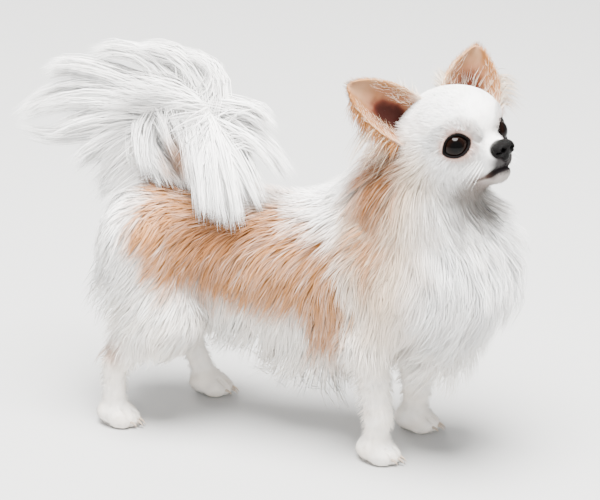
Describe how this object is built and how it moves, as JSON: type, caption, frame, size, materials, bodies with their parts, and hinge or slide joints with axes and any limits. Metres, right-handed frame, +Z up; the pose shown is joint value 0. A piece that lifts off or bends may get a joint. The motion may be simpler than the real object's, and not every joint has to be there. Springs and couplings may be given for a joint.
{
  "type": "long-haired chihuahua figure",
  "caption": "Life-size still figure of a long-haired chihuahua standing on all fours, head turned aside, ears spread and plumed tail curled over its back.",
  "frame": {"origin": "on the floor under the middle of the figure's box", "axes": "+X towards the dog's front, +Y to its left, +Z up"},
  "size_m": [0.38, 0.1138, 0.288],
  "materials": {
    "white_coat": "long soft hair, white to cream",
    "fawn_coat": "long soft hair, fawn over cream",
    "eye": "wet gloss, dark brown",
    "nose_skin": "moist, finely pebbled, black",
    "claw": "pale horn"
  },
  "bodies": {
    "root": {"trunk": "fawn_coat", "neck": "white_coat", "head": "white_coat", "jaw": "white_coat", "nose": "nose_skin", "ear_right": "fawn_coat", "ear_left": "fawn_coat", "eye_right": "eye", "eye_left": "eye", "foreleg_right": "white_coat", "foreleg_left": "white_coat", "hindleg_right": "white_coat", "hindleg_left": "white_coat", "tail_base": "fawn_coat", "tail_brush": "white_coat", "claw_fr_1": "claw", "claw_fr_2": "claw", "claw_fr_3": "claw", "claw_fr_4": "claw", "claw_fl_1": "claw", "claw_fl_2": "claw", "claw_fl_3": "claw", "claw_fl_4": "claw", "claw_hr_1": "claw", "claw_hr_2": "claw", "claw_hr_3": "claw", "claw_hr_4": "claw", "claw_hl_1": "claw", "claw_hl_2": "claw", "claw_hl_3": "claw", "claw_hl_4": "claw"}
  },
  "joints": []
}
